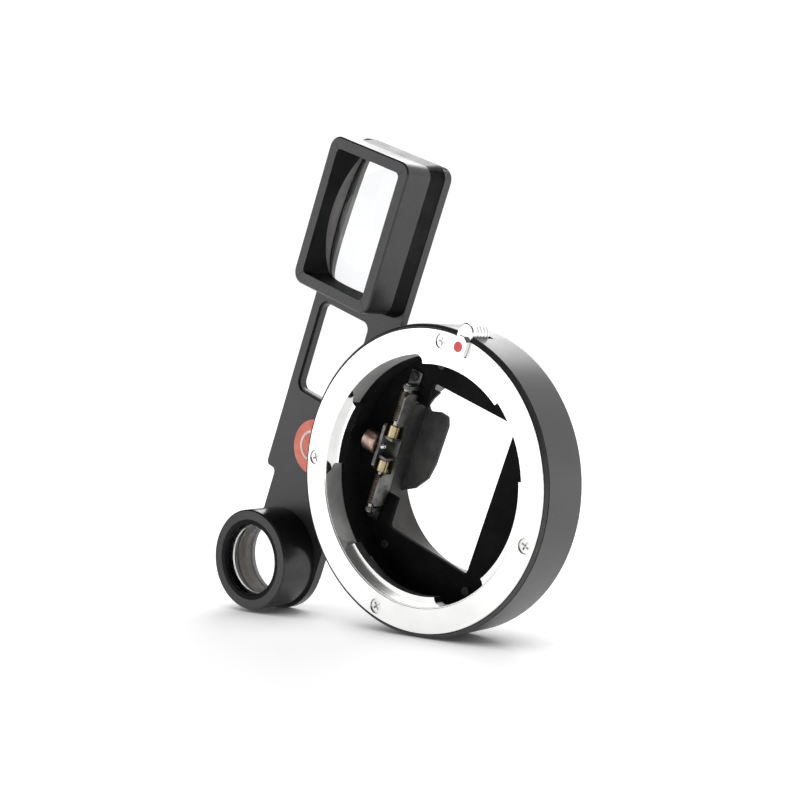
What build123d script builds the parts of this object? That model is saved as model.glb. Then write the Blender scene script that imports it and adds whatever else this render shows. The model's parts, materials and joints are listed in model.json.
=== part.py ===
from build123d import *
from math import cos, sin, radians
import os

# Close-up adapter ring with finder goggles for a rangefinder camera.
#
# Every piece is first drawn in the optical frame: x to the right, y up, z along the optical axis
# towards the lens, with the origin on that axis in the plane of the camera-side flange face.
# stand() then turns it into the part's own frame: +Z up, the camera towards +Y, the lens towards -Y.
# The goggles and the coupling parts are drawn upright, in u (across) and v (along the plate), and
# lean() turns them about the optical axis by GOGGLE_LEAN. The part rests on its ring and its plate.

# ring body
BODY_R = 27.5            # outer radius of the ring
BODY_REAR_Z = 1.4        # rear face of the ring, in front of the rear flange plate
LENS_FACE_Z = 11.8       # face that the lens seats on
CAVITY_R = 22.6          # inside radius of the ring
RIM_CHAMFER = 0.5
FIT_GAP = 0.05           # clearance between pieces that are screwed together
RUN_GAP = 0.03           # radial clearance of pins and the roller
SCREW_GAP = 0.02

# lens-side bayonet
FLANGE_R = 26.75
FLANGE_THICK = 1.8
FACE_EDGE_R = 22.3       # where the flat face ends
RIM_LINE_DEPTH = 0.12    # fine turned line beside the rim's chamfer
RECESS_R = 22.1          # between the lugs
LUG_R = 20.5             # inside of the lugs
LUG_FACE_Z = LENS_FACE_Z - 1.7
SKIRT_R = 23.6
SKIRT_END_Z = 7.45
LUG_REAR_Z = 8.2         # back of the lugs
RECESS_CORNER_R = 1.3    # the cutter's radius at the ends of the recesses
LENS_LUGS = [(41, 91), (142, 174), (217, 277), (308, 362)]     # start and end angle
FLANGE_SCREW_R = 24.9
FLANGE_SCREW_ANGLES = [77.8, 172.8, 247.4, 337.3]
FLANGE_SCREW_HEAD_R = 1.26
FLANGE_SCREW_SEAT_R = 1.33
FLANGE_SCREW_SUNK = 0.26 # how far the heads lie below the face
SPRING_RING_THICK = 0.25

# camera-side bayonet
REAR_FLANGE_R = 25.4
REAR_BORE_R = 18.1
REGISTER_R = 21.8
REGISTER_LENGTH = 1.3
BAYONET_R = 20.3
BAYONET_LENGTH = 6.6
REAR_LUG_R = 21.65
REAR_LUG_Z = (-5.3, -3.5)
REAR_LUGS = [(20, 62), (110, 150), (200, 242), (290, 330)]
REAR_SCREW_R = 23.9
REAR_SCREW_ANGLES = [20, 100, 212, 292]

# baffle
BAFFLE_R = 22.5
BAFFLE_THICK = 0.8
BAFFLE_FRONT_Z = BODY_REAR_Z + BAFFLE_THICK
GATE_LEFT_U, GATE_RIGHT_U = -10.2, 9.6      # short side of the picture
GATE_LOW_V, GATE_TOP_V = -14.7, 14.3
GATE_CORNER = 0.9
SLOT_LEFT_U = -13.5      # the blade's web passes through the baffle here
SLOT_LOW_V, SLOT_TOP_V = -8.9, 9.5
BAFFLE_SCREW_R = 20.4
BAFFLE_SCREW_ANGLES = [58, 118, 242, 302]

# release latch
LATCH_ANGLE = 67.6
LATCH_HALF_WIDTH = 1.62
LATCH_INNER_R = 23.75
LATCH_OUTER_R = 27.25
LATCH_PROUD = 0.9        # how far the latch stands out of the lens face
LATCH_THICK = 1.5
LATCH_TRAVEL = 1.4
KNOB_AXIS_R = 27.8
KNOB_R = 1.64
KNOB_FRONT_Z = LENS_FACE_Z + 0.15
KNOB_REAR_Z = 7.2
KNOB_GROOVES = 4
KNOB_GROOVE_PITCH = 0.88
KNOB_GROOVE_WIDTH = 0.3
KNOB_GROOVE_DEPTH = 0.22
KNOB_FIRST_GROOVE = 0.5   # from the knob's rear end
STEM_AXIS_R = 24.85
STEM_R = 0.7
STEM_END_Z = 7.9
STEM_BORE_END_Z = 4.4
LATCH_SPRING_R = 0.5
DOT_R = 0.92
DOT_AXIS_R = 25.2
DOT_DEPTH = 0.25

# goggles
GOGGLE_LEAN = 22.0       # degrees from upright
HOOD_U, HOOD_V = -30.0, 36.83
HOOD_WIDTH, HOOD_HEIGHT = 19.9, 27.86
HOOD_WALL = 2.1
HOOD_CORNER = 2.3
HOOD_FRONT_Z = 14.32
LENS_REST_Z = 5.8        # ledge that the hood's lens rests on
TUBE_U, TUBE_V = -31.6, -31.4
TUBE_R = 9.65
TUBE_FRONT_Z = 13.1
TUBE_MOUTH_R = 6.75
TUBE_RING_Z = 11.1       # front of the tube's retaining ring
TUBE_LENS_Z = 8.2        # ledge that the tube's lens rests on
PLATE_FRONT_Z = 4.97
PLATE_THICK = 1.8
PLATE_REAR_Z = PLATE_FRONT_Z - PLATE_THICK
PLATE_LEFT_U = -41.6
PLATE_RIGHT_U = -19.4
PLATE_NECK_LEFT_U = -39.0
PLATE_NECK_RIGHT_U = -21.3
PLATE_NOTCH_V = -15.9
PLATE_TOP_V = HOOD_V + HOOD_HEIGHT / 2 + 0.35
PLATE_INNER_R = 24.7     # the plate's edge inside the ring's step
WINDOW_LEFT_U, WINDOW_RIGHT_U = -39.3, -26.9
WINDOW_LOW_V, WINDOW_TOP_V = 1.45, 19.1
WINDOW_CORNER = 1.6
VIEW_LEDGE = 0.25        # ledge round the opening behind the hood
VIEW_WIDTH = HOOD_WIDTH - 2 * HOOD_WALL - 2 * VIEW_LEDGE
VIEW_HEIGHT = HOOD_HEIGHT - 2 * HOOD_WALL - 2 * VIEW_LEDGE
HOOD_FOOT_Z = 8.2        # below this the hood's wall spreads towards the plate
HOOD_FOOT = 0.55         # how far it spreads
TUBE_BORE_R = 7.1        # bore behind the tube's lens
TUBE_LENS_R = 7.36
TUBE_LENS_CURVE_R = 60.0
REAR_LENS_CURVE_R = 120.0
REAR_LENS_MIDDLE = 1.0   # thickness of the viewfinder's rear lens in its middle
GOGGLE_SCREW_R = 26.1
GOGGLE_SCREW_ANGLES = [148, 178, 207]
DISC_U, DISC_V = -30.67, -7.54
DISC_R = 5.3
DISC_THICK = 0.4

# rangefinder coupling, in u, v and z
PIN_U, PIN_Z = -13.3, 5.3
PIN_R = 0.55
PIN_HALF_LENGTH = 12.9
PIN_INNER_V = 2.0        # the two pins leave the middle free for the axle's end
EAR_V = 12.2
EAR_THICK = 0.7
BRACKET_SCREW_U, BRACKET_SCREW_V = -14.5, 13.8
LEAF_LEFT_U, LEAF_RIGHT_U = -15.1, -12.0
LEAF_Z = (3.0, 3.9)
LEAF_HALF_LENGTH = 11.4
LEAF_WALL_V = (4.75, 11.2)    # upright walls on the leaf's right edge, from the middle outwards
LEAF_WALL_THICK = 0.32
LEAF_WALL_TOP_Z = 6.5
WALL_U = (-14.98, -14.38)     # the carrier's wall
WALL_HALF_LENGTH = 4.4
WALL_TOP_Z = 6.6
CHEEK_V = (1.7, 2.2)
BUSH_V = (2.25, 4.6)
BUSH_R = 0.98
ROLLER_Z = 5.7
ROLLER_R = 2.12
ROLLER_U = (-18.2, -15.25)
AXLE_R = 0.5
AXLE_HEAD_R = 1.1
AXLE_END_U = -13.95
RIVET_R = 0.72
SPRING_V = (5.3, 11.3)   # each torsion spring, from the middle outwards
SPRING_R = 0.82
SPRING_WIRE_R = 0.11
SPRING_TURNS = 15
BLADE_Z = (-1.2, -0.6)
WEB_LOW_V, WEB_TOP_V = -8.4, 9.2

# the ring's lowest line is the floor, so the plate's round end has the radius that reaches it
TUBE_HEIGHT = -TUBE_U * sin(radians(GOGGLE_LEAN)) + TUBE_V * cos(radians(GOGGLE_LEAN))
LOBE_R = BODY_R + TUBE_HEIGHT

STAND = Plane(origin=(0, 0, 0), x_dir=(1, 0, 0), z_dir=(0, -1, 0)).location
OPTICAL_AXIS = Axis((0, 0, 0), (0, 0, 1))


def save(shape, name):
    """Turn a piece from the optical frame into the part's frame and write it."""
    placed = STAND * shape
    export_step(Compound(placed.solids()), f"parts/{name}.step")


def lean(shape):
    """Turn a piece drawn in u, v and z about the optical axis to the goggles' lean."""
    return Rot(0, 0, -GOGGLE_LEAN) * shape


def group(pieces):
    """Separate solids that share one node."""
    return Compound([solid for piece in pieces for solid in piece.solids()])


def disc(radius, low, high, x=0.0, y=0.0):
    """Cylinder along z between two heights."""
    return Pos(x, y, low) * extrude(Circle(radius), high - low)


def ring(outer, inner, low, high, x=0.0, y=0.0):
    return disc(outer, low, high, x, y) - disc(inner, low - 1, high + 1, x, y)


def block(left, right, bottom, top, low, high):
    """Box between two x, two y and two z values."""
    centre = Pos((left + right) / 2, (bottom + top) / 2, (low + high) / 2)
    return centre * Box(right - left, top - bottom, high - low)


def rounded_block(width, height, corner, low, high, x=0.0, y=0.0):
    return Pos(x, y, low) * extrude(RectangleRounded(width, height, corner), high - low)


def revolved(points, start=0.0, sweep_angle=360.0):
    """Turn an outline of (radius, z) points about the optical axis."""
    outline = make_face(Polyline([(r, 0, z) for r, z in points], close=True))
    return Rot(0, 0, start) * revolve(outline, OPTICAL_AXIS, sweep_angle)


def polar(radius, angle):
    return radius * cos(radians(angle)), radius * sin(radians(angle))


def at_latch(shape):
    """Place a piece drawn with the radius along y at the latch's angle."""
    return Rot(0, 0, LATCH_ANGLE - 90) * shape


def rod_u(radius, left, right, v, z):
    """Cylinder along u."""
    return Pos(left, v, z) * Rot(0, 90, 0) * extrude(Circle(radius), right - left)


def rod_v(radius, bottom, top, u, z):
    """Cylinder along v."""
    return Pos(u, bottom, z) * Rot(-90, 0, 0) * extrude(Circle(radius), top - bottom)


def screw(head_r, head_thick, shank_r, shank_length, countersunk=False):
    """Cross-recess screw: the head's top is at z = 0 and the shank points down."""
    if countersunk:
        rim = head_thick / 4
        head = extrude(Circle(head_r), -rim)
        cone = Cone(shank_r, head_r, head_thick - rim, align=(Align.CENTER, Align.CENTER, Align.MAX))
        head = head + Pos(0, 0, -rim) * cone
    else:
        head = extrude(Circle(head_r), -head_thick)
        head = chamfer(head.edges().group_by(Axis.Z)[-1], head_thick / 3)
    shank = Pos(0, 0, -head_thick) * extrude(Circle(shank_r), -shank_length)
    arm, slit, depth = head_r * 1.25, head_r * 0.26, head_thick * 0.9
    recess = Box(arm, slit, depth) + Box(slit, arm, depth)
    return head + shank - recess


def coil(radius, wire_r, turns, length):
    """Helical spring along z, from z = 0 upwards."""
    path = Helix(length / turns, length, radius)
    section = Plane(origin=path @ 0, z_dir=path % 0) * Circle(wire_r)
    return sweep(section, path, is_frenet=True)


# ---------------------------------------------------------------- ring and bayonets

def plate_outline():
    """The goggle plate's outer shape, with nothing cut out of it."""
    upper = Pos((PLATE_LEFT_U + PLATE_RIGHT_U) / 2, PLATE_TOP_V / 2)
    upper = upper * Rectangle(PLATE_RIGHT_U - PLATE_LEFT_U, PLATE_TOP_V)
    upper = fillet(upper.vertices().group_by(Axis.Y)[-1], HOOD_CORNER)
    middle_width = PLATE_NECK_RIGHT_U - PLATE_LEFT_U
    middle = Pos(PLATE_LEFT_U + middle_width / 2, (PLATE_NOTCH_V + 1) / 2)
    middle = middle * Rectangle(middle_width, 1 - PLATE_NOTCH_V)
    neck_width = PLATE_NECK_RIGHT_U - PLATE_NECK_LEFT_U
    neck = Pos(PLATE_NECK_LEFT_U + neck_width / 2, (TUBE_V + PLATE_NOTCH_V) / 2 + 0.5)
    neck = neck * Rectangle(neck_width, PLATE_NOTCH_V - TUBE_V + 1)
    lobe = Pos(TUBE_U, TUBE_V) * Circle(LOBE_R)
    outline = upper + middle + neck + lobe
    notch_corners = [
        v for v in outline.vertices()
        if abs(v.Y - PLATE_NOTCH_V) < 0.01 and v.X < PLATE_NECK_LEFT_U + 0.1]
    return fillet(notch_corners, 0.9)


def latch_pocket():
    """Room for the latch to slide in: plate slot, knob groove and stem bore."""
    half = LATCH_HALF_WIDTH + FIT_GAP
    slot = block(-half, half, LATCH_INNER_R - FIT_GAP, BODY_R + 1,
                 LENS_FACE_Z + LATCH_PROUD - LATCH_THICK - LATCH_TRAVEL - 0.1, LENS_FACE_Z + 1)
    groove = disc(KNOB_R + 0.06, KNOB_REAR_Z - LATCH_TRAVEL - 0.1, LENS_FACE_Z + 1, 0, KNOB_AXIS_R)
    bore = disc(STEM_R + 0.05, STEM_BORE_END_Z, LENS_FACE_Z, 0, STEM_AXIS_R)
    return at_latch(slot + groove + bore)


def body_ring():
    skirt_seat_r = SKIRT_R + FIT_GAP
    flange_seat_z = LENS_FACE_Z - FLANGE_THICK
    body = revolved([
        (CAVITY_R, BODY_REAR_Z), (BODY_R - 0.3, BODY_REAR_Z), (BODY_R, BODY_REAR_Z + 0.3),
        (BODY_R, LENS_FACE_Z - RIM_CHAMFER - 0.22),
        (BODY_R - RIM_LINE_DEPTH, LENS_FACE_Z - RIM_CHAMFER - 0.22),
        (BODY_R - RIM_LINE_DEPTH, LENS_FACE_Z - RIM_CHAMFER), (FLANGE_R + 0.22, LENS_FACE_Z - 0.05),
        (FLANGE_R + 0.12, LENS_FACE_Z - 0.15), (FLANGE_R + 0.12, flange_seat_z),
        (skirt_seat_r, flange_seat_z), (skirt_seat_r, SKIRT_END_Z - SPRING_RING_THICK - 0.05),
        (CAVITY_R, SKIRT_END_Z - SPRING_RING_THICK - 0.05)])
    step = extrude(offset(plate_outline(), FIT_GAP), PLATE_FRONT_Z - BODY_REAR_Z + 1)
    step = Pos(0, 0, BODY_REAR_Z - 1) * step
    step = step - disc(PLATE_INNER_R - FIT_GAP, 0, LENS_FACE_Z)
    body = body - lean(step) - latch_pocket()
    for angle in FLANGE_SCREW_ANGLES:
        x, y = polar(FLANGE_SCREW_R, angle)
        body = body - disc(0.6 + SCREW_GAP, flange_seat_z - 3.4, LENS_FACE_Z, x, y)
    for angle in REAR_SCREW_ANGLES:
        x, y = polar(REAR_SCREW_R, angle)
        body = body - disc(0.6 + SCREW_GAP, 0, BODY_REAR_Z + 2.8, x, y)
    for angle in GOGGLE_SCREW_ANGLES:
        x, y = polar(GOGGLE_SCREW_R, angle)
        body = body - lean(disc(0.6 + SCREW_GAP, 0, PLATE_FRONT_Z + 2.8, x, y))
    return body


def lug_outline():
    """The flange behind its lugs' faces, with the lugs and the rounded ends of the recesses."""
    wall = Circle(SKIRT_R) - Circle(RECESS_R)
    for start, end in LENS_LUGS:
        corners = [(0, 0)]
        for number in range(6):
            corners.append(polar(SKIRT_R * 1.2, start + (end - start) * number / 5))
        wedge = make_face(Polyline(*corners, close=True))
        wall = wall + ((Circle(RECESS_R + 0.2) - Circle(LUG_R)) & wedge)
    inner = [v for v in wall.vertices() if abs((v.X ** 2 + v.Y ** 2) ** 0.5 - RECESS_R) < 0.02]
    wall = fillet(inner, RECESS_CORNER_R)
    return wall


def lens_flange():
    flange = revolved([
        (RECESS_R, SKIRT_END_Z), (SKIRT_R, SKIRT_END_Z), (SKIRT_R, LENS_FACE_Z - FLANGE_THICK),
        (FLANGE_R, LENS_FACE_Z - FLANGE_THICK), (FLANGE_R, LENS_FACE_Z - 0.1),
        (FLANGE_R - 0.1, LENS_FACE_Z), (FACE_EDGE_R + 0.08, LENS_FACE_Z),
        (FACE_EDGE_R, LENS_FACE_Z - 0.08), (FACE_EDGE_R, LENS_FACE_Z - 0.16),
        (RECESS_R + 0.05, LENS_FACE_Z - 0.16), (RECESS_R, LENS_FACE_Z - 0.22)])
    lugs = Pos(0, 0, LUG_REAR_Z) * extrude(lug_outline(), LUG_FACE_Z - LUG_REAR_Z)
    flange = flange + lugs
    flange = flange - latch_pocket()
    for angle in FLANGE_SCREW_ANGLES:
        x, y = polar(FLANGE_SCREW_R, angle)
        seat_z = LENS_FACE_Z - FLANGE_SCREW_SUNK - 0.28
        seat = disc(FLANGE_SCREW_SEAT_R, seat_z, LENS_FACE_Z + 1, x, y)
        cone = Cone(0.62, FLANGE_SCREW_SEAT_R, 0.78, align=(Align.CENTER, Align.CENTER, Align.MAX))
        flange = flange - seat - Pos(x, y, seat_z) * cone - disc(0.62, 0, LENS_FACE_Z, x, y)
    return flange


def lens_flange_screws():
    screws = []
    for number, angle in enumerate(FLANGE_SCREW_ANGLES):
        x, y = polar(FLANGE_SCREW_R, angle)
        turn = Rot(0, 0, angle + 25 * number)
        head = screw(FLANGE_SCREW_HEAD_R, 1.0, 0.6, 3.0, countersunk=True)
        screws.append(Pos(x, y, LENS_FACE_Z - FLANGE_SCREW_SUNK) * turn * head)
    return group(screws)


def bayonet_spring():
    """Leaf-spring ring behind the flange, with a finger under each lug."""
    low, high = SKIRT_END_Z - SPRING_RING_THICK - 0.03, SKIRT_END_Z - 0.03
    outer = SKIRT_R - 0.1
    spring = revolved([(RECESS_R + 0.1, low), (outer, low), (outer, high), (RECESS_R + 0.1, high)], 5, 345)
    for start, end in LENS_LUGS:
        finger = [(LUG_R + 0.5, low), (RECESS_R + 0.3, low), (RECESS_R + 0.3, high), (LUG_R + 0.5, high)]
        spring = spring + revolved(finger, start + 8, end - start - 16)
    return spring


def rear_bayonet():
    bayonet = revolved([
        (REAR_BORE_R, BODY_REAR_Z), (REAR_FLANGE_R - 0.2, BODY_REAR_Z), (REAR_FLANGE_R, BODY_REAR_Z - 0.2),
        (REAR_FLANGE_R, 0.15), (REAR_FLANGE_R - 0.15, 0), (REGISTER_R, 0), (REGISTER_R, -REGISTER_LENGTH),
        (BAYONET_R, -REGISTER_LENGTH), (BAYONET_R, -BAYONET_LENGTH + 0.3),
        (BAYONET_R - 0.3, -BAYONET_LENGTH),
        (REAR_BORE_R, -BAYONET_LENGTH)])
    low, high = REAR_LUG_Z
    for start, end in REAR_LUGS:
        bayonet = bayonet + revolved([
            (REAR_BORE_R + 0.5, low), (REAR_LUG_R - 0.25, low), (REAR_LUG_R, low + 0.25),
                                      (REAR_LUG_R, high), (REAR_BORE_R + 0.5, high)], start, end - start)
    for angle in REAR_SCREW_ANGLES:
        x, y = polar(REAR_SCREW_R, angle)
        bayonet = bayonet - disc(0.62, -1, 3, x, y) - disc(1.15, -1, 0.7, x, y)
    for angle in BAFFLE_SCREW_ANGLES:
        x, y = polar(BAFFLE_SCREW_R, angle)
        bayonet = bayonet - lean(disc(0.45 + SCREW_GAP, 0.2, 3, x, y))
    return bayonet


def rear_bayonet_screws():
    screws = []
    for angle in REAR_SCREW_ANGLES:
        x, y = polar(REAR_SCREW_R, angle)
        screws.append(Pos(x, y, 0.04) * Rot(180, 0, angle) * screw(1.1, 0.64, 0.6, 3.2))
    return group(screws)


def baffle_plate():
    baffle = disc(BAFFLE_R, BODY_REAR_Z, BAFFLE_FRONT_Z)
    gate = rounded_block(GATE_RIGHT_U - GATE_LEFT_U, GATE_TOP_V - GATE_LOW_V, GATE_CORNER, 0, 4,
                         (GATE_LEFT_U + GATE_RIGHT_U) / 2, (GATE_LOW_V + GATE_TOP_V) / 2)
    coupling_slot = block(SLOT_LEFT_U, GATE_LEFT_U + 1, SLOT_LOW_V, SLOT_TOP_V, 0, 4)
    baffle = baffle - gate - coupling_slot
    for angle in BAFFLE_SCREW_ANGLES:
        x, y = polar(BAFFLE_SCREW_R, angle)
        baffle = baffle - disc(0.45 + SCREW_GAP, 0, 4, x, y)
    for v in (-BRACKET_SCREW_V, BRACKET_SCREW_V):
        baffle = baffle - disc(0.45 + SCREW_GAP, 0, 4, BRACKET_SCREW_U, v)
    return lean(baffle)


def baffle_screws():
    screws = []
    for angle in BAFFLE_SCREW_ANGLES:
        x, y = polar(BAFFLE_SCREW_R, angle)
        screws.append(Pos(x, y, BAFFLE_FRONT_Z + 0.5) * Rot(0, 0, angle) * screw(0.85, 0.5, 0.45, 1.7))
    return lean(group(screws))


# ---------------------------------------------------------------- release latch

def release_latch():
    front_z = LENS_FACE_Z + LATCH_PROUD
    half = LATCH_HALF_WIDTH
    corner = 0.75
    outline = make_face(Polyline(
        (-half + 0.3, LATCH_INNER_R), (half - 0.3, LATCH_INNER_R), (half, LATCH_INNER_R + 0.3),
        (half, LATCH_OUTER_R - corner), (half - corner - 0.3, LATCH_OUTER_R),
        (-half + corner + 0.3, LATCH_OUTER_R), (-half, LATCH_OUTER_R - corner),
        (-half, LATCH_INNER_R + 0.3),
        close=True))
    plate = Pos(0, 0, front_z - LATCH_THICK) * extrude(outline, LATCH_THICK)
    plate = chamfer(plate.edges().group_by(Axis.Z)[-1], 0.12)
    knob = disc(KNOB_R, KNOB_REAR_Z, KNOB_FRONT_Z, 0, KNOB_AXIS_R)
    knob = chamfer(knob.edges().filter_by(GeomType.CIRCLE), 0.2)
    for number in range(KNOB_GROOVES):
        z = KNOB_REAR_Z + KNOB_FIRST_GROOVE + number * KNOB_GROOVE_PITCH
        groove = ring(KNOB_R + 1, KNOB_R - KNOB_GROOVE_DEPTH, z, z + KNOB_GROOVE_WIDTH, 0, KNOB_AXIS_R)
        knob = knob - groove
    bridge = block(-half + 0.1, half - 0.1, KNOB_AXIS_R - KNOB_R - 0.6, KNOB_AXIS_R,
                   front_z - LATCH_THICK, KNOB_FRONT_Z)
    stem = disc(STEM_R, STEM_END_Z, front_z - LATCH_THICK + 0.1, 0, STEM_AXIS_R)
    dot_seat = disc(DOT_R + 0.01, front_z - DOT_DEPTH, front_z + 1, 0, DOT_AXIS_R)
    return at_latch(plate + bridge + knob + stem - dot_seat)


def latch_dot():
    front_z = LENS_FACE_Z + LATCH_PROUD
    dot = disc(DOT_R, front_z - DOT_DEPTH, front_z + 0.03, 0, DOT_AXIS_R)
    return at_latch(dot)


def latch_spring():
    """Coil spring in the stem's bore, which presses the latch out."""
    length = STEM_END_Z - STEM_BORE_END_Z - 0.4
    return at_latch(Pos(0, STEM_AXIS_R, STEM_BORE_END_Z + 0.2) * coil(LATCH_SPRING_R, 0.1, 6, length))


# ---------------------------------------------------------------- goggles

def goggle_plate():
    sketch = plate_outline() - Circle(PLATE_INNER_R)
    plate = Pos(0, 0, PLATE_REAR_Z) * extrude(sketch, PLATE_THICK)
    window_u = (WINDOW_LEFT_U + WINDOW_RIGHT_U) / 2
    window_v = (WINDOW_LOW_V + WINDOW_TOP_V) / 2
    window_width = WINDOW_RIGHT_U - WINDOW_LEFT_U
    window_height = WINDOW_TOP_V - WINDOW_LOW_V
    plate = plate - rounded_block(window_width, window_height, WINDOW_CORNER, 0, 8, window_u, window_v)
    plate = plate - rounded_block(window_width + 1.0, window_height + 1.0, WINDOW_CORNER + 0.5,
                                  PLATE_FRONT_Z - 0.45, 8, window_u, window_v)
    plate = plate - rounded_block(VIEW_WIDTH, VIEW_HEIGHT, 1.0, 0, 8, HOOD_U, HOOD_V)
    plate = plate - disc(TUBE_BORE_R, 0, 8, TUBE_U, TUBE_V)
    for angle in GOGGLE_SCREW_ANGLES:
        x, y = polar(GOGGLE_SCREW_R, angle)
        plate = plate - disc(0.62, 0, 8, x, y)
    for u, v in hood_screw_places():
        plate = plate - disc(0.5 + SCREW_GAP, 0, 8, u, v)
    return lean(plate)


def goggle_screws():
    screws = []
    for angle in GOGGLE_SCREW_ANGLES:
        x, y = polar(GOGGLE_SCREW_R, angle)
        screws.append(Pos(x, y, PLATE_REAR_Z - 0.75) * Rot(180, 0, angle) * screw(1.25, 0.75, 0.6, 4.2))
    return lean(group(screws))


def hood_screw_places():
    across = HOOD_WIDTH / 2 - 1.35
    along = HOOD_HEIGHT / 2 - 1.35
    return [(HOOD_U + i * across, HOOD_V + j * along) for i in (-1, 1) for j in (-1, 1)]


def viewfinder_hood():
    hood = rounded_block(HOOD_WIDTH, HOOD_HEIGHT, HOOD_CORNER, PLATE_FRONT_Z, HOOD_FRONT_Z)
    hood = chamfer(hood.edges().group_by(Axis.Z)[-1], 0.25)
    spread = 2 * HOOD_FOOT
    foot_low = RectangleRounded(HOOD_WIDTH + spread, HOOD_HEIGHT + spread, HOOD_CORNER + HOOD_FOOT)
    foot_top = RectangleRounded(HOOD_WIDTH, HOOD_HEIGHT, HOOD_CORNER)
    hood = hood + loft([Pos(0, 0, PLATE_FRONT_Z) * foot_low, Pos(0, 0, HOOD_FOOT_Z) * foot_top])
    inner_width = HOOD_WIDTH - 2 * HOOD_WALL
    inner_height = HOOD_HEIGHT - 2 * HOOD_WALL
    hood = hood - rounded_block(inner_width, inner_height, 0.9, LENS_REST_Z, HOOD_FRONT_Z + 1)
    hood = hood - rounded_block(VIEW_WIDTH, VIEW_HEIGHT, 1.0, 0, HOOD_FRONT_Z)
    hood = Pos(HOOD_U, HOOD_V, 0) * hood
    for u, v in hood_screw_places():
        hood = hood - disc(0.5 + SCREW_GAP, 0, PLATE_FRONT_Z + 3.2, u, v)
    return lean(hood)


def hood_screws():
    screws = []
    for u, v in hood_screw_places():
        screws.append(Pos(u, v, PLATE_REAR_Z - 0.55) * Rot(180, 0, 30) * screw(0.95, 0.55, 0.5, 4.6))
    return lean(group(screws))


def ball(radius, centre_z):
    """Ball on the axis of a lens; its poles lie sideways, clear of the lens's middle."""
    return Pos(0, 0, centre_z) * Rot(90, 0, 0) * Sphere(radius)


def viewfinder_front_lens():
    """Thick rectangular lens with a domed front and a flat back."""
    width = HOOD_WIDTH - 2 * HOOD_WALL - 0.06
    height = HOOD_HEIGHT - 2 * HOOD_WALL - 0.06
    dome_r = 20.0
    apex_z = 12.9
    slab = rounded_block(width, height, 0.85, LENS_REST_Z + 0.02, HOOD_FRONT_Z)
    dome = ball(dome_r, apex_z - dome_r)
    return lean(Pos(HOOD_U, HOOD_V, 0) * (slab & dome))


def viewfinder_rear_lens():
    """Rectangular lens in the plate's opening, hollow towards the front."""
    lens = rounded_block(VIEW_WIDTH - 0.06, VIEW_HEIGHT - 0.06, 0.95,
                         PLATE_REAR_Z + 0.05, PLATE_FRONT_Z - 0.05)
    hollow = ball(REAR_LENS_CURVE_R, PLATE_REAR_Z + REAR_LENS_MIDDLE + REAR_LENS_CURVE_R)
    return lean(Pos(HOOD_U, HOOD_V, 0) * (lens - hollow))


def rangefinder_tube():
    profile = [(TUBE_R, PLATE_FRONT_Z), (TUBE_R, TUBE_FRONT_Z - 0.3), (TUBE_R - 0.25, TUBE_FRONT_Z),
               (TUBE_MOUTH_R + 0.2, TUBE_FRONT_Z - 0.1), (TUBE_MOUTH_R, TUBE_FRONT_Z - 0.35),
               (TUBE_MOUTH_R, TUBE_FRONT_Z - 0.9), (7.6, TUBE_FRONT_Z - 0.9), (7.6, TUBE_RING_Z),
               (7.4, TUBE_RING_Z), (7.4, TUBE_LENS_Z),
               (TUBE_BORE_R, TUBE_LENS_Z), (TUBE_BORE_R, PLATE_FRONT_Z)]
    return lean(Pos(TUBE_U, TUBE_V, 0) * revolved(profile))


def rangefinder_retaining_ring():
    return lean(ring(7.38, 6.55, TUBE_RING_Z - 0.4, TUBE_RING_Z, TUBE_U, TUBE_V))


def round_lens(radius, low, high, curve_r):
    """Round lens whose front bulges; the edge is thinner than the middle."""
    slab = disc(radius, low, high)
    dome = ball(curve_r, high - curve_r)
    return slab & dome


def rangefinder_front_lens():
    lens = round_lens(TUBE_LENS_R, TUBE_LENS_Z + 0.02, TUBE_RING_Z - 0.42, TUBE_LENS_CURVE_R)
    return lean(Pos(TUBE_U, TUBE_V, 0) * lens)


def rangefinder_rear_lens():
    """Lens cemented in the plate, behind the tube."""
    lens = round_lens(TUBE_BORE_R - 0.03, PLATE_REAR_Z + 0.1, PLATE_FRONT_Z - 0.1, TUBE_LENS_CURVE_R)
    return lean(Pos(TUBE_U, TUBE_V, 0) * lens)


def marker_disc():
    """Disc on the plate, trimmed where it meets the ring."""
    marker = disc(DISC_R, PLATE_FRONT_Z, PLATE_FRONT_Z + DISC_THICK, DISC_U, DISC_V)
    return lean(marker - disc(BODY_R + 0.1, 0, 8))


def marker_inlay():
    """Generic ring-and-dot sign on the disc."""
    low = PLATE_FRONT_Z + DISC_THICK
    return lean(group([ring(3.0, 2.5, low, low + 0.08, DISC_U - 0.6, DISC_V),
                       disc(0.8, low, low + 0.08, DISC_U - 0.6, DISC_V)]))


# ---------------------------------------------------------------- rangefinder coupling

def hinge_bracket():
    """Strip on the baffle with an ear at each end for the pins."""
    low = BAFFLE_FRONT_Z
    left, right = PIN_U - 0.6, PIN_U + 0.35
    strip = block(left, right, -EAR_V, EAR_V, low, low + 0.4)
    for side in (-1, 1):
        ear_low = side * EAR_V - EAR_THICK / 2
        ear_high = side * EAR_V + EAR_THICK / 2
        foot_low, foot_high = sorted((side * (EAR_V - EAR_THICK), side * (BRACKET_SCREW_V + 1.1)))
        strip = strip + block(BRACKET_SCREW_U - 1.1, right, foot_low, foot_high, low, low + 0.4)
        strip = strip + block(PIN_U - 0.9, PIN_U + 0.9, ear_low, ear_high, low, PIN_Z)
        strip = strip + rod_v(0.9, ear_low, ear_high, PIN_U, PIN_Z)
        strip = strip - disc(0.45 + SCREW_GAP, 0, 4, BRACKET_SCREW_U, side * BRACKET_SCREW_V)
    strip = strip - rod_v(PIN_R + SCREW_GAP, -20, 20, PIN_U, PIN_Z)
    return lean(strip)


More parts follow.
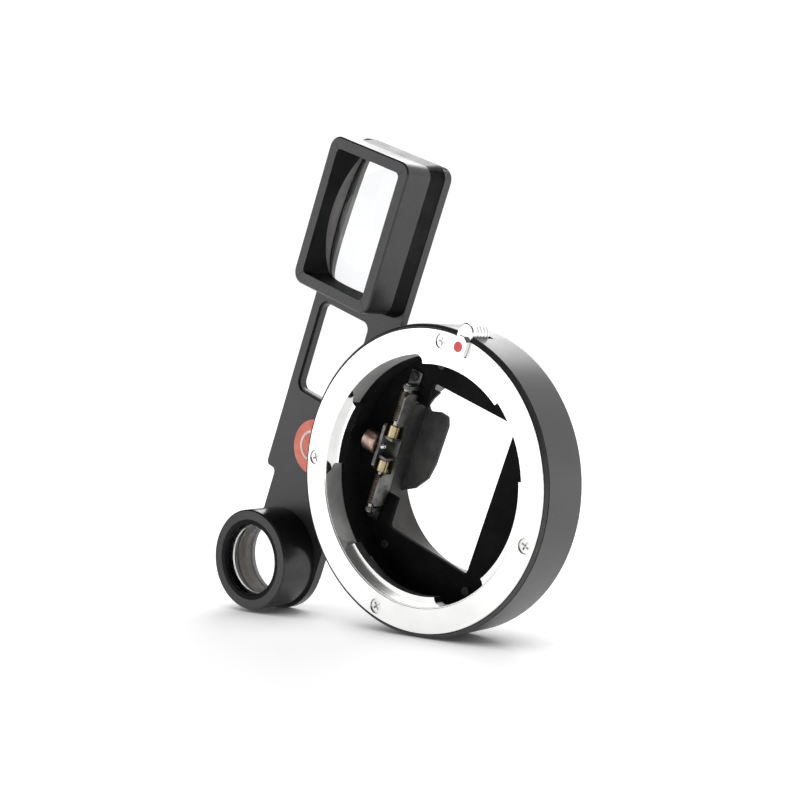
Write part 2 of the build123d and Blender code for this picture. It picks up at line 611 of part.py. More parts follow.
def bracket_screws():
    screws = []
    for side in (-1, 1):
        top = BAFFLE_FRONT_Z + 0.4 + 0.5
        place = Pos(BRACKET_SCREW_U, side * BRACKET_SCREW_V, top)
        screws.append(place * Rot(0, 0, 40 * side) * screw(0.9, 0.5, 0.45, 1.15))
    return lean(group(screws))


def rocker_pins():
    """Two pins on one line, one in each ear."""
    pins = []
    for side in (-1, 1):
        low, high = sorted((side * PIN_INNER_V, side * PIN_HALF_LENGTH))
        pin = rod_v(PIN_R, low, high, PIN_U, PIN_Z)
        pins.append(chamfer(pin.edges().filter_by(GeomType.CIRCLE), 0.12))
    return lean(group(pins))


def rocker_springs():
    """Two torsion springs, one round each pin."""
    springs = []
    inner, outer = SPRING_V
    for low in (-outer, inner):
        turned = Rot(-90, 0, 0) * coil(SPRING_R, SPRING_WIRE_R, SPRING_TURNS, outer - inner)
        springs.append(Pos(PIN_U, low, PIN_Z) * turned)
    return lean(group(springs))


def rocker_plate():
    leaf = block(LEAF_LEFT_U, LEAF_RIGHT_U, -LEAF_HALF_LENGTH, LEAF_HALF_LENGTH, *LEAF_Z)
    leaf = chamfer(leaf.edges().filter_by(Axis.Z), 0.4)
    for side in (-1, 1):
        low, high = sorted((side * LEAF_WALL_V[0], side * LEAF_WALL_V[1]))
        wall_left = LEAF_RIGHT_U - LEAF_WALL_THICK
        wall = block(wall_left, LEAF_RIGHT_U, low, high, LEAF_Z[1] - 0.2, LEAF_WALL_TOP_Z)
        top_corners = wall.edges().filter_by(Axis.X).group_by(Axis.Z)[-1]
        leaf = leaf + chamfer(top_corners, 0.7)
    return lean(leaf)


def roller_carrier():
    """Wall on the leaf that holds the roller's axle, with two cheeks on the pins."""
    base_z = LEAF_Z[1]
    left, right = WALL_U
    wall = block(left, right, -WALL_HALF_LENGTH, WALL_HALF_LENGTH, base_z, WALL_TOP_Z)
    carrier = chamfer(wall.edges().filter_by(Axis.X).group_by(Axis.Z)[-1], 0.4)
    for side in (-1, 1):
        low, high = sorted((side * CHEEK_V[0], side * CHEEK_V[1]))
        carrier = carrier + block(right - 0.1, PIN_U + 0.9, low, high, base_z, PIN_Z + 0.8)
    carrier = carrier - rod_v(PIN_R + RUN_GAP, -20, 20, PIN_U, PIN_Z)
    carrier = carrier - rod_u(AXLE_R + SCREW_GAP, -20, -10, 0, ROLLER_Z)
    return lean(carrier)


def rocker_bushes():
    bushes = []
    for side in (-1, 1):
        low, high = sorted((side * BUSH_V[0], side * BUSH_V[1]))
        bush = rod_v(BUSH_R, low, high, PIN_U, PIN_Z)
        bush = chamfer(bush.edges().filter_by(GeomType.CIRCLE), 0.12)
        bushes.append(bush - rod_v(PIN_R + RUN_GAP, -20, 20, PIN_U, PIN_Z))
    return lean(group(bushes))


def roller_axle():
    """Axle along u with a head outside the roller and a riveted, domed end inside the carrier."""
    head_left = ROLLER_U[0] - 0.5
    shaft = rod_u(AXLE_R, head_left, AXLE_END_U, 0, ROLLER_Z)
    head = rod_u(AXLE_HEAD_R, head_left, ROLLER_U[0] - 0.1, 0, ROLLER_Z)
    dome = Pos(WALL_U[1] + 0.02, 0, ROLLER_Z) * Sphere(RIVET_R)
    dome = dome - block(-20, WALL_U[1] + 0.02, -2, 2, 0, 12)
    return lean(shaft + head + dome)


def cam_roller():
    roller = rod_u(ROLLER_R, ROLLER_U[0], ROLLER_U[1], 0, ROLLER_Z)
    roller = chamfer(roller.edges().filter_by(GeomType.CIRCLE), 0.3)
    return lean(roller - rod_u(AXLE_R + RUN_GAP, -20, -10, 0, ROLLER_Z))


def coupling_blade():
    """Bent sheet: a web down from the leaf's edge, then a flag that meets the camera's own roller."""
    low, high = BLADE_Z
    left, right = LEAF_RIGHT_U - 0.8, LEAF_RIGHT_U
    web = block(left, right, WEB_LOW_V, WEB_TOP_V, high, LEAF_Z[0])
    flag = make_face(Polyline(
        (left, WEB_LOW_V), (-12.0, -8.3), (-9.2, -6.6), (-7.0, -3.6), (-6.4, -0.5),
        (-6.3, 7.3), (-7.0, 8.9),
        (-8.9, 9.0), (-11.2, 8.2), (-12.0, 9.0), (-11.4, 10.6), (-10.4, 12.2), (left, 12.2), close=True))
    sharp = [v for v in flag.vertices() if v.X > -11.9 and v.Y < 11]
    flag = fillet(sharp, 0.6)
    return lean(web + Pos(0, 0, low) * extrude(flag, high - low))


PIECES = [
    body_ring, lens_flange, lens_flange_screws, bayonet_spring, rear_bayonet, rear_bayonet_screws,
    baffle_plate, baffle_screws, release_latch, latch_dot, latch_spring,
    goggle_plate, goggle_screws, viewfinder_hood, hood_screws, viewfinder_front_lens,
    viewfinder_rear_lens, rangefinder_tube, rangefinder_retaining_ring,
    rangefinder_front_lens, rangefinder_rear_lens, marker_disc, marker_inlay,
    hinge_bracket, bracket_screws, rocker_pins, rocker_springs, rocker_plate, roller_carrier,
    rocker_bushes, roller_axle, cam_roller, coupling_blade]

os.makedirs("parts", exist_ok=True)
for piece in PIECES:
    save(piece(), piece.__name__)
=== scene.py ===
import json
import math

import bpy
from mathutils import Matrix, Vector


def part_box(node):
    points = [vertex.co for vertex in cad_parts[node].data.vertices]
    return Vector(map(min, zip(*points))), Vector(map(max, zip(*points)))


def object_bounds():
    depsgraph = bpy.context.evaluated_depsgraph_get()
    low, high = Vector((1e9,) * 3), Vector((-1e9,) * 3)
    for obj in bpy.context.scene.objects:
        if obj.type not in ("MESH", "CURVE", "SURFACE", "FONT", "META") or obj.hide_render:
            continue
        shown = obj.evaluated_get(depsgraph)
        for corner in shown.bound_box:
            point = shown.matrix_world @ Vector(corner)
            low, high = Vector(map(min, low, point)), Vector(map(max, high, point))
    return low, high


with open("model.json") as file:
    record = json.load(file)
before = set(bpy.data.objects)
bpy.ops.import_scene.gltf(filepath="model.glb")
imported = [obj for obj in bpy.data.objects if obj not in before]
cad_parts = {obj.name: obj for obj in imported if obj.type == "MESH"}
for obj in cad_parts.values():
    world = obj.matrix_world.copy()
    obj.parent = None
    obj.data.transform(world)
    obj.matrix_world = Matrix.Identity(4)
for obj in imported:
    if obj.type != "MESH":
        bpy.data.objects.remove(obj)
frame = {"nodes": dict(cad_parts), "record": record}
cad_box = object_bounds()
nodes = frame["nodes"]

# ------------------------------------------------------------------ camera

CAMERA_PLACE = Vector((0.16203, -0.20642, 0.01910))
CAMERA_AZIMUTH = math.radians(40.473)
CAMERA_ELEVATION = math.radians(1.13)
CAMERA_ROLL = math.radians(0.23)
CAMERA_LENS, CAMERA_SENSOR = 65.32, 36.0      # in mm
CAMERA_NEAR, CAMERA_FAR = 0.01, 20.0


def make_camera():
    back = Vector((math.sin(CAMERA_AZIMUTH) * math.cos(CAMERA_ELEVATION),
                   -math.cos(CAMERA_AZIMUTH) * math.cos(CAMERA_ELEVATION),
                   math.sin(CAMERA_ELEVATION)))
    level = Vector((math.cos(CAMERA_AZIMUTH), math.sin(CAMERA_AZIMUTH), 0))
    upright = back.cross(level)
    right = level * math.cos(CAMERA_ROLL) + upright * math.sin(CAMERA_ROLL)
    up = upright * math.cos(CAMERA_ROLL) - level * math.sin(CAMERA_ROLL)
    data = bpy.data.cameras.new("camera")
    data.lens = CAMERA_LENS
    data.sensor_width = CAMERA_SENSOR
    data.clip_start, data.clip_end = CAMERA_NEAR, CAMERA_FAR
    camera = bpy.data.objects.new("camera", data)
    bpy.context.scene.collection.objects.link(camera)
    turn = Matrix((right, up, back)).transposed().to_4x4()
    camera.matrix_world = Matrix.Translation(CAMERA_PLACE) @ turn
    bpy.context.scene.camera = camera


# ------------------------------------------------------------------ shader helpers

NOISE_MIDDLE = (0.30, 0.70)      # most of a noise lies between these
SOFT_CLOUD = (0.35, 0.70)        # between these a noise turns one tone into the other
EVEN_CLOUD = (0.35, 0.68)
HARD_CLOUD = (0.40, 0.68)
EDGE_DOT = (0.96, 0.75)          # rounded normal times the true one: off an edge, and right on it
LATHE_DRIFT = 25.0               # how fast a lathe mark changes along its length


def opaque(value):
    """A plain colour gets its alpha; anything else stays as it is."""
    return value + (1.0,) if isinstance(value, tuple) and len(value) == 3 else value


class Shader:
    """A material with one Principled shader, and short calls for the nodes that feed it."""

    def __init__(self, name):
        self.material = bpy.data.materials.new(name)
        self.material.use_nodes = True
        self.tree = self.material.node_tree
        self.main = self.tree.nodes["Principled BSDF"]
        self.place = self.tree.nodes.new("ShaderNodeTexCoord").outputs["Object"]

    def put(self, kind, **inputs):
        node = self.tree.nodes.new(kind)
        for key, value in inputs.items():
            self.feed(node.inputs[key.replace("_", " ")], value)
        return node

    def feed(self, socket, value):
        if isinstance(value, bpy.types.NodeSocket):
            self.tree.links.new(value, socket)
        else:
            socket.default_value = value

    def math(self, operation, a, b=0.0):
        node = self.tree.nodes.new("ShaderNodeMath")
        node.operation = operation
        for socket, value in zip(node.inputs, (a, b)):
            self.feed(socket, value)
        return node.outputs[0]

    def blended(self, a, b, share):
        """Two noises added; the first counts for the share and the other for the rest."""
        return self.math("ADD", self.math("MULTIPLY", a, share), self.math("MULTIPLY", b, 1 - share))

    def scaled(self, x, y, z):
        """Object coordinates, stretched along each axis."""
        node = self.tree.nodes.new("ShaderNodeVectorMath")
        node.operation = "MULTIPLY"
        self.feed(node.inputs[0], self.place)
        self.feed(node.inputs[1], (x, y, z))
        return node.outputs[0]

    def noise(self, scale, detail=3.0, rough=0.5, vector=None):
        node = self.put("ShaderNodeTexNoise", Scale=scale, Detail=detail, Roughness=rough,
                        Vector=self.place if vector is None else vector)
        return node.outputs["Fac"]

    def span(self, value, low, high, new_low, new_high):
        node = self.tree.nodes.new("ShaderNodeMapRange")
        node.interpolation_type = "SMOOTHSTEP"
        for key, item in (("Value", value), ("From Min", low), ("From Max", high),
                          ("To Min", new_low), ("To Max", new_high)):
            self.feed(node.inputs[key], item)
        return node.outputs["Result"]

    def mix(self, share, a, b):
        node = self.tree.nodes.new("ShaderNodeMix")
        node.data_type = "RGBA"
        self.feed(node.inputs["Factor"], share)
        for index, value in ((6, a), (7, b)):      # the two colour sockets
            self.feed(node.inputs[index], opaque(value))
        return node.outputs[2]

    def clouded(self, noise, limits, colour, other):
        """One colour, which turns into the other where the noise is high."""
        return self.mix(self.span(noise, *limits, 0.0, 1.0), colour, other)

    def gloss(self, noise, smoothest, roughest):
        """A roughness that follows the noise."""
        return self.span(noise, *NOISE_MIDDLE, smoothest, roughest)

    def specks(self, scale, low, high, most):
        """Share of dust: up to the most where a noise is high, and none elsewhere."""
        return self.span(self.noise(scale, 1.0, 0.4), low, high, 0.0, most)

    def turned(self, rate):
        """Marks of a lathe about the optical axis: fine rings on the faces and lines round the sides."""
        x, y, z = self.put("ShaderNodeSeparateXYZ", Vector=self.place).outputs
        squares = self.math("ADD", self.math("MULTIPLY", x, x), self.math("MULTIPLY", z, z))
        joined = self.put("ShaderNodeCombineXYZ",
                          X=self.math("MULTIPLY", self.math("SQRT", squares), rate),
                          Y=self.math("MULTIPLY", y, rate),
                          Z=self.math("MULTIPLY", self.math("ADD", x, z), LATHE_DRIFT))
        return self.noise(1.0, 4.0, 0.65, joined.outputs[0])

    def edges(self, width):
        """About 1 on sharp edges, outer and inner, and 0 elsewhere."""
        bevel = self.put("ShaderNodeBevel", Radius=width)
        bevel.samples = 4
        normal = self.tree.nodes.new("ShaderNodeNewGeometry").outputs["Normal"]
        dot = self.tree.nodes.new("ShaderNodeVectorMath")
        dot.operation = "DOT_PRODUCT"
        self.feed(dot.inputs[0], bevel.outputs[0])
        self.feed(dot.inputs[1], normal)
        return self.span(dot.outputs["Value"], *EDGE_DOT, 0.0, 1.0)

    def rubbed(self, width, noise, limits, least, most):
        """Share of bare material along the edges, broken up by the noise."""
        return self.math("MULTIPLY", self.edges(width), self.span(noise, *limits, least, most))

    def bump(self, height, depth, strength):
        return self.put("ShaderNodeBump", Strength=strength, Distance=depth, Height=height).outputs[0]

    def set(self, **inputs):
        for key, value in inputs.items():
            self.feed(self.main.inputs[key.replace("_", " ")], opaque(value) if "Color" in key else value)
        return self


# ------------------------------------------------------------------ finishes

GLASS_IOR = 1.28        # low, because the finder's lenses hardly bend the straight edges seen through them
RING_SPECULAR = 0.62


def painted(name, colour, rough, grain=9000.0, grain_depth=6e-6):
    """Black paint: fine grain, slow changes of gloss, faintly rubbed edges and a few specks of dust."""
    s = Shader(name)
    slow = s.noise(90.0, 4.0, 0.6)
    fine = s.noise(grain, 2.0, 0.5)
    lighter = tuple(c * 1.5 + 0.004 for c in colour)
    dust = s.specks(2600.0, 0.77, 0.82, most=0.30)
    bare = s.rubbed(1.2e-4, s.noise(900.0, 3.0, 0.6), (0.45, 0.72), least=0.0, most=0.5)
    base = s.clouded(slow, SOFT_CLOUD, colour, lighter)
    base = s.mix(dust, base, (0.35, 0.34, 0.32))
    base = s.mix(bare, base, (0.16, 0.16, 0.165))
    return s.set(Base_Color=base, Roughness=s.gloss(s.blended(slow, fine, 0.7), rough - 0.06, rough + 0.07),
                 Normal=s.bump(fine, grain_depth, 0.6))


def turned_metal(name, colour, rough, metallic=1.0, darker=0.88):
    """Bright metal with fine lathe marks and faint handling marks."""
    s = Shader(name)
    marks = s.turned(rate=9000.0)
    cloud = s.noise(140.0, 5.0, 0.6)
    scratch = s.span(s.noise(60.0, 2.0, 0.5, s.scaled(10.0, 1.0, 140.0)), 0.70, 0.74, 0.0, 0.5)
    base = s.clouded(cloud, SOFT_CLOUD, colour, tuple(c * darker for c in colour))
    base = s.mix(s.math("MULTIPLY", scratch, 0.25), base, tuple(c * 0.6 for c in colour))
    return s.set(Base_Color=base, Metallic=metallic, Normal=s.bump(marks, 2.2e-6, 0.5),
                 Roughness=s.gloss(s.blended(marks, cloud, 0.6), rough - 0.05, rough + 0.08))


def steel(name, colour, rough, metallic=1.0, stain=(0.5, 0.5, 0.5)):
    """Small metal pieces: drawn or ground grain, darker stains and brighter edges."""
    s = Shader(name)
    fine = s.noise(1.0, 3.0, 0.6, s.scaled(900.0, 900.0, 9000.0))
    cloud = s.noise(420.0, 5.0, 0.65)
    bright = tuple(min(1.0, c * 1.35 + 0.05) for c in colour)
    base = s.clouded(cloud, HARD_CLOUD, colour, tuple(c * k for c, k in zip(colour, stain)))
    base = s.mix(s.math("MULTIPLY", s.edges(8e-5), 0.7), base, bright)
    return s.set(Base_Color=base, Metallic=metallic, Normal=s.bump(fine, 4e-6, 0.5),
                 Roughness=s.gloss(s.blended(fine, cloud, 0.5), rough - 0.07, rough + 0.12))


def anodised_ring():
    """Satin black ring, turned all round, with rubbed rims."""
    s = Shader("ring_black")
    marks = s.turned(rate=7000.0)
    cloud = s.noise(55.0, 5.0, 0.6)
    bare = s.rubbed(1.3e-4, s.noise(700.0, 3.0, 0.6), (0.42, 0.66), least=0.1, most=0.6)
    dust = s.specks(2300.0, 0.78, 0.82, most=0.3)
    base = s.clouded(cloud, SOFT_CLOUD, (0.030, 0.030, 0.031), (0.046, 0.046, 0.045))
    base = s.mix(bare, base, (0.20, 0.20, 0.20))
    base = s.mix(dust, base, (0.4, 0.39, 0.37))
    return s.set(Base_Color=base, Roughness=s.gloss(s.blended(marks, cloud, 0.5), 0.29, 0.40),
                 Specular_IOR_Level=RING_SPECULAR, Normal=s.bump(marks, 3e-6, 0.5))


def flat_black(name, colour=(0.006, 0.006, 0.0065), rough=0.75, specular=0.07):
    """Anti-reflection paint, also used as painted shade on some faces: little gloss, a fine grain and slow
    changes of tone.
    """
    s = Shader(name)
    slow = s.noise(160.0, 4.0, 0.6)
    fine = s.noise(5200.0, 3.0, 0.6)
    dust = s.specks(2400.0, 0.79, 0.83, most=0.10)
    bare = s.rubbed(9e-5, s.noise(800.0, 3.0, 0.6), (0.42, 0.7), least=0.05, most=0.45)
    base = s.clouded(slow, SOFT_CLOUD, colour, tuple(c * 2.0 for c in colour))
    base = s.mix(dust, base, (0.25, 0.24, 0.22))
    base = s.mix(bare, base, (0.11, 0.11, 0.11))
    return s.set(Base_Color=base, Roughness=s.gloss(fine, rough - 0.08, rough + 0.1),
                 Normal=s.bump(fine, 1.2e-5, 0.6), Specular_IOR_Level=specular)


def ground_edge():
    """The ground, grey sides of a lens block, seen through the glass."""
    s = Shader("ground_edge")
    fine = s.noise(6000.0, 2.0, 0.5)
    base = s.clouded(s.noise(350.0, 4.0, 0.6), SOFT_CLOUD, (0.26, 0.25, 0.24), (0.36, 0.345, 0.33))
    return s.set(Base_Color=base, Roughness=s.gloss(fine, 0.5, 0.7), Normal=s.bump(fine, 2e-6, 0.4))


def enamel(name, colour, darker, rough=0.3):
    """Filled enamel with a slightly uneven colour and surface."""
    s = Shader(name)
    cloud = s.noise(500.0, 4.0, 0.6)
    fine = s.noise(7000.0, 2.0, 0.5)
    return s.set(Base_Color=s.clouded(cloud, EVEN_CLOUD, colour, darker), Normal=s.bump(fine, 5e-6, 0.4),
                 Roughness=s.gloss(cloud, rough - 0.05, rough + 0.1))


def lens_glass():
    """Clear glass with a faint, uneven haze."""
    s = Shader("lens_glass")
    haze = s.span(s.noise(300.0, 4.0, 0.6), 0.45, 0.75, 0.0, 0.012)
    return s.set(Base_Color=(0.99, 0.995, 1.0), Roughness=haze, IOR=GLASS_IOR, Transmission_Weight=1.0)


def rough_blade():
    """Blackened sheet with a coarse, dull surface."""
    s = Shader("blade_black")
    coarse = s.noise(3200.0, 4.0, 0.7)
    bare = s.rubbed(1.0e-4, s.noise(900.0), (0.4, 0.6), least=0.1, most=0.7)
    base = s.clouded(s.noise(260.0, 5.0, 0.7), EVEN_CLOUD, (0.030, 0.030, 0.030), (0.060, 0.060, 0.058))
    base = s.mix(s.span(coarse, 0.62, 0.72, 0.0, 0.35), base, (0.13, 0.13, 0.125))
    base = s.mix(bare, base, (0.22, 0.21, 0.19))
    return s.set(Base_Color=base, Roughness=s.gloss(coarse, 0.5, 0.75), Normal=s.bump(coarse, 2.5e-5, 0.7))


# the record's material slots
MATERIALS = {
    "black_anodised": anodised_ring(),
    "satin_chrome": turned_metal("satin_chrome", (0.93, 0.93, 0.92), 0.20),
    "screw_steel": steel("screw_steel", (0.78, 0.78, 0.77), 0.25, stain=(0.85, 0.85, 0.84)),
    "spring_steel": steel("spring_steel", (0.42, 0.41, 0.40), 0.28, stain=(0.6, 0.58, 0.55)),
    "matte_black": flat_black("baffle_black"),
    "black_screws": steel("black_screws", (0.035, 0.035, 0.036), 0.38, metallic=0.0, stain=(0.7, 0.7, 0.7)),
    "red_paint": enamel("red_enamel", (0.95, 0.085, 0.08), (0.80, 0.05, 0.055)),
    "black_paint": painted("plate_black", (0.022, 0.022, 0.024), 0.36),
    "hood_black": painted("hood_black", (0.018, 0.018, 0.019), 0.30, 10000.0, 5e-6),
    "coated_glass": lens_glass(),
    "gloss_black": painted("tube_black", (0.011, 0.011, 0.012), 0.20, 11000.0, 2.5e-6),
    "marker_red": enamel("marker_red", (0.95, 0.24, 0.15), (0.85, 0.17, 0.11), 0.35),
    "white_paint": enamel("white_enamel", (0.88, 0.87, 0.84), (0.78, 0.76, 0.72), 0.4),
    "grey_steel": steel("grey_steel", (0.17, 0.17, 0.165), 0.34, stain=(0.5, 0.48, 0.45)),
    "brass_wire": steel("brass_wire", (0.20, 0.16, 0.10), 0.26, stain=(0.35, 0.32, 0.28)),
    "brass_bush": steel("brass_bush", (0.50, 0.42, 0.24), 0.28, stain=(0.7, 0.62, 0.5)),
    "copper_roller": steel("copper_roller", (0.45, 0.33, 0.28), 0.30, stain=(0.72, 0.62, 0.55)),
    "blade_black": rough_blade(),
}

# finishes of single faces of a node; those for the lugs' sides, the flange's recess walls and the foot are
# painted shade
INSIDE = {
    "ring": flat_black("ring_inside", (0.012, 0.012, 0.0125), 0.5, 0.25),
    "hood": flat_black("hood_inside", (0.008, 0.008, 0.0085), 0.6, 0.12),
    "tube": flat_black("tube_inside", (0.006, 0.006, 0.0065), 0.6, 0.10),
    "bore": turned_metal("bore_grey", (0.07, 0.068, 0.065), 0.36, darker=0.7),
    # painted shade: the recess walls deeper than the lugs' faces get a duller, darker copy of the flange's
    # chrome
    "flange": turned_metal("flange_recess_painted_shade", (0.80, 0.80, 0.79), 0.40, metallic=0.45, darker=0.75),
    "tube_bore": flat_black("tube_bore", (0.13, 0.115, 0.10), 0.5, 0.2),
    # painted shade: the lugs' inner sides are made darker than the chrome faces beside them
    "lug": flat_black("lug_side_painted_shade", (0.016, 0.016, 0.0165), 0.45, 0.3),
    # painted shade: a flat black on the hood's foot by the plate and on the plate's top faces
    "foot": flat_black("foot_painted_shade", (0.010, 0.010, 0.0105), 0.6, 0.10),
    "edge": ground_edge(),
}

AXIS = Vector((0, 0, 0))
HOOD_HALF = (0.0081, 0.0121)            # half the size of the opening, in metres
HOOD_LEAN = math.radians(22)
# painted shade: the hood's side faces near the plate get a flat black in place of the hood's paint
HOOD_FOOT_Y, HOOD_FOOT_TILT = -0.0083, 0.06      # the foot's faces tilt at least this much towards Y
HOOD_TOP_UP = 0.5                       # the foot's faces that look further up keep the hood's finish
RING_INSIDE_R = 0.0231
# painted shade goes on the recess walls and the lugs' inner sides within these radii
RECESS_WALL_R, LUG_SIDE_R = 0.02235, 0.0215
LUG_FACE_Y = -0.0098                    # the recesses' walls go deeper than the lugs' faces
# painted shade: the plate's faces that look up, above this height, get a flat black
PLATE_TOP_Z, PLATE_TOP_UP = 0.055, 0.6
BORE_INSIDE_R = 0.0186
TUBE_INSIDE_R = 0.0077
TUBE_BORE_R, TUBE_LEDGE_Y = 0.0072, -0.0083
LENS_SIDE_R = 0.0062                    # nearer to its middle a lens has no sides
SIDE_TILT, LENS_SIDE_TILT = 0.5, 0.25   # a side's normal has less than this along Y


def mark_inside(node, look, test):
    """Give a finish of their own, or painted shade, to the faces that pass the test.

    The test gets a face's centre, its normal and the highest Y of its corners, which is its deepest.
    """
    piece = nodes[node]
    piece.data.materials.append(INSIDE[look].material)
    slot = len(piece.data.materials) - 1
    for face in piece.data.polygons:
        centre = piece.matrix_world @ face.center
        normal = piece.matrix_world.to_3x3() @ face.normal
        corners = [piece.matrix_world @ piece.data.vertices[index].co for index in face.vertices]
        if test(centre, normal, max(corner.y for corner in corners)):
            face.material_index = slot


def node_centre(node):
    low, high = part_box(node)
    return Vector(((low[0] + high[0]) / 2, 0, (low[2] + high[2]) / 2))


HOOD_MIDDLE = node_centre("viewfinder_hood")
TUBE_MIDDLE = node_centre("rangefinder_tube")


def from_axis(place, centre):
    return math.hypot(place.x - centre.x, place.z - centre.z)


def within(radius, centre):
    return lambda place, normal, deepest: from_axis(place, centre) < radius


def in_hood(place, normal, deepest):
    x, z = place.x - HOOD_MIDDLE.x, place.z - HOOD_MIDDLE.z
    u = x * math.cos(HOOD_LEAN) - z * math.sin(HOOD_LEAN)
    v = x * math.sin(HOOD_LEAN) + z * math.cos(HOOD_LEAN)
    return abs(u) < HOOD_HALF[0] and abs(v) < HOOD_HALF[1]


# painted shade goes on these faces of the hood's foot
def hood_foot(place, normal, deepest):
    return place.y > HOOD_FOOT_Y and abs(normal.y) > HOOD_FOOT_TILT and normal.z < HOOD_TOP_UP


# painted shade goes on these top faces of the plate
def plate_top(place, normal, deepest):
    return place.z > PLATE_TOP_Z and abs(normal.y) < SIDE_TILT and normal.z > PLATE_TOP_UP


def tube_bore(place, normal, deepest):
    return from_axis(place, TUBE_MIDDLE) < TUBE_BORE_R and place.y > TUBE_LEDGE_Y


# painted shade goes on the recess walls deeper than the lugs' faces
def recess_wall(place, normal, deepest):
    return LUG_SIDE_R < from_axis(place, AXIS) < RECESS_WALL_R and deepest > LUG_FACE_Y


# painted shade goes on the lugs' inner sides
def lug_side_painted_shade(place, normal, deepest):
    return from_axis(place, AXIS) < LUG_SIDE_R and abs(normal.y) < SIDE_TILT


def lens_side(middle):
    def test(place, normal, deepest):
        return abs(normal.y) < LENS_SIDE_TILT and from_axis(place, middle) > LENS_SIDE_R
    return test


def dress_nodes():
    """Every node gets the finish of its slot, and then some faces get their own finish or painted shade."""
    for part in frame["record"]["subparts"]:
        mesh = nodes[part["node"]].data
        mesh.materials.clear()
        mesh.materials.append(MATERIALS[part["material_slot"]].material)
    mark_inside("body_ring", "ring", within(RING_INSIDE_R, AXIS))
    mark_inside("rear_bayonet", "bore", within(BORE_INSIDE_R, AXIS))
    # painted shade on the flange's recess walls and on the lugs' inner sides
    mark_inside("lens_flange", "flange", recess_wall)
    mark_inside("lens_flange", "lug", lug_side_painted_shade)
    mark_inside("rangefinder_tube", "tube", within(TUBE_INSIDE_R, TUBE_MIDDLE))
    mark_inside("rangefinder_tube", "tube_bore", tube_bore)
    mark_inside("viewfinder_hood", "hood", in_hood)
    # painted shade on the hood's foot and on the plate's top faces
    mark_inside("viewfinder_hood", "foot", hood_foot)
    mark_inside("goggle_plate", "foot", plate_top)
    for lens in ("viewfinder_front_lens", "viewfinder_rear_lens", "rangefinder_front_lens",
                 "rangefinder_rear_lens"):
        mark_inside(lens, "edge", lens_side(node_centre(lens)))


# ------------------------------------------------------------------ stage

FLOOR_SIZE = 6.0
FLOOR_NEAR, FLOOR_FAR = 0.12, 0.34      # between these the lit floor turns into plain white
FLOOR_TONES = (0.83, 0.87)
CONTACT_SHADE, CONTACT_SAMPLES = 0.03, 8         # within this distance of the pieces the floor's glow is dimmed: a painted contact shadow on top of the real one
OPENNESS = (0.15, 0.92)                 # between these shares of open sky the floor's glow
FLOOR_GLOW = (0.02, 0.74)               # goes from the first of these to the second
FAR_GLOW = 1.4
LIGHT_AIM = Vector((0.0, 0.0, 0.01))
WORLD_LIGHT, WORLD_SEEN = 0.10, 1.05    # what lights the object, and what shows behind it and through glass


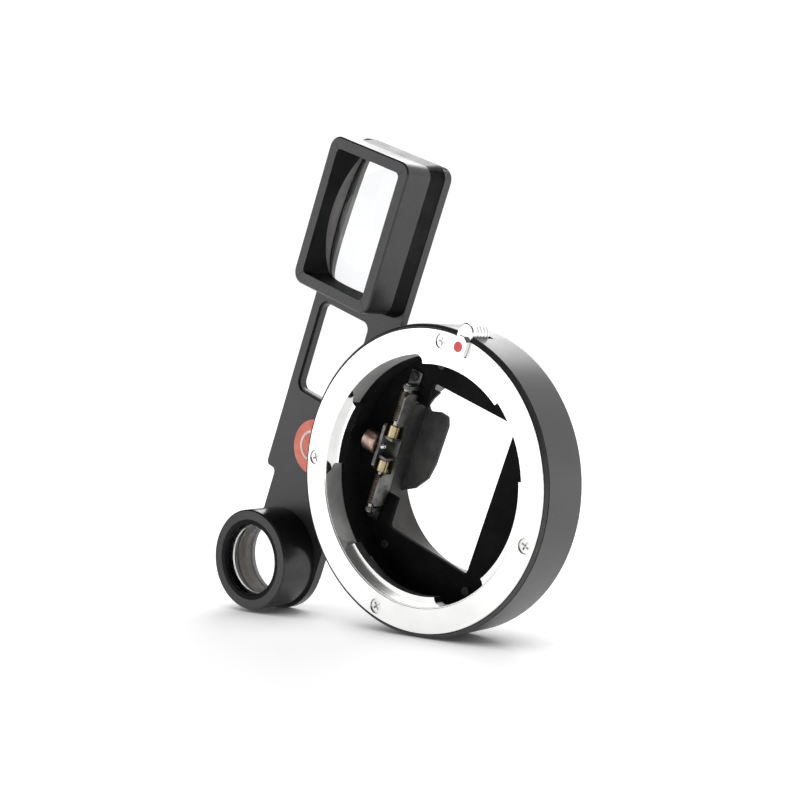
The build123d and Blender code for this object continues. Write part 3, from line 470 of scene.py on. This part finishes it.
def make_floor():
    """A pale floor under the object, whose glow dims near it as a painted contact shadow, and which runs
    into white far from it.
    """
    low = cad_box[0][2]
    mesh = bpy.data.meshes.new("floor")
    half = FLOOR_SIZE / 2
    mesh.from_pydata([(-half, -half, low), (half, -half, low), (half, half, low), (-half, half, low)],
                     [], [(0, 1, 2, 3)])
    floor = bpy.data.objects.new("floor", mesh)
    bpy.context.scene.collection.objects.link(floor)
    s = Shader("floor_white")
    distance = s.tree.nodes.new("ShaderNodeVectorMath")
    distance.operation = "LENGTH"
    s.feed(distance.inputs[0], s.place)
    far = s.span(distance.outputs["Value"], FLOOR_NEAR, FLOOR_FAR, 0.0, 1.0)
    grain = s.span(s.noise(700.0, 2.0), *NOISE_MIDDLE, *FLOOR_TONES)
    tone = s.put("ShaderNodeCombineColor", Red=grain, Green=grain, Blue=grain).outputs[0]
    # painted contact shadow: the floor's glow follows the share of open sky
    shade = s.put("ShaderNodeAmbientOcclusion", Distance=CONTACT_SHADE)
    shade.samples = CONTACT_SAMPLES
    s.set(Base_Color=tone, Roughness=0.6, Specular_IOR_Level=0.2, Emission_Color=(1.0, 1.0, 1.0),
          Emission_Strength=s.span(shade.outputs["AO"], *OPENNESS, *FLOOR_GLOW))
    plain = s.put("ShaderNodeEmission", Strength=FAR_GLOW)
    both = s.put("ShaderNodeMixShader", Fac=far)
    s.tree.links.new(s.main.outputs[0], both.inputs[1])
    s.tree.links.new(plain.outputs[0], both.inputs[2])
    s.tree.links.new(both.outputs[0], s.tree.nodes["Material Output"].inputs["Surface"])
    mesh.materials.append(s.material)


def softbox(name, place, width, height, radiance):
    """A large soft light of the given radiance, seen only in reflections and as light."""
    data = bpy.data.lights.new(name, "AREA")
    data.shape = "RECTANGLE"
    data.size, data.size_y = width, height
    data.energy = radiance * math.pi * width * height
    light = bpy.data.objects.new(name, data)
    light.location = place
    light.rotation_euler = (Vector(place) - LIGHT_AIM).to_track_quat("Z", "Y").to_euler()
    light.visible_camera = False
    light.visible_transmission = False
    bpy.context.scene.collection.objects.link(light)


def make_lights():
    softbox("key_left", (-0.54, -0.60, 0.16), width=0.70, height=0.60, radiance=1.65)
    softbox("top_back", (-0.34, 0.64, 0.46), width=0.62, height=0.50, radiance=2.9)
    softbox("back_wall", (0.30, 1.00, 0.35), width=2.4, height=1.1, radiance=1.1)


def make_world():
    world = bpy.data.worlds.new("world")
    bpy.context.scene.world = world
    world.use_nodes = True
    tree = world.node_tree
    background = tree.nodes["Background"]
    background.inputs["Color"].default_value = (1, 1, 1, 1)
    paths = tree.nodes.new("ShaderNodeLightPath")
    seen = tree.nodes.new("ShaderNodeMath")
    seen.operation = "MAXIMUM"
    tree.links.new(paths.outputs["Is Camera Ray"], seen.inputs[0])
    tree.links.new(paths.outputs["Is Transmission Ray"], seen.inputs[1])
    level = tree.nodes.new("ShaderNodeMapRange")
    level.inputs["To Min"].default_value = WORLD_LIGHT
    level.inputs["To Max"].default_value = WORLD_SEEN
    tree.links.new(seen.outputs[0], level.inputs["Value"])
    tree.links.new(level.outputs[0], background.inputs["Strength"])


bpy.context.scene.view_settings.view_transform = "Standard"
make_camera()
dress_nodes()
make_floor()
make_lights()
make_world()
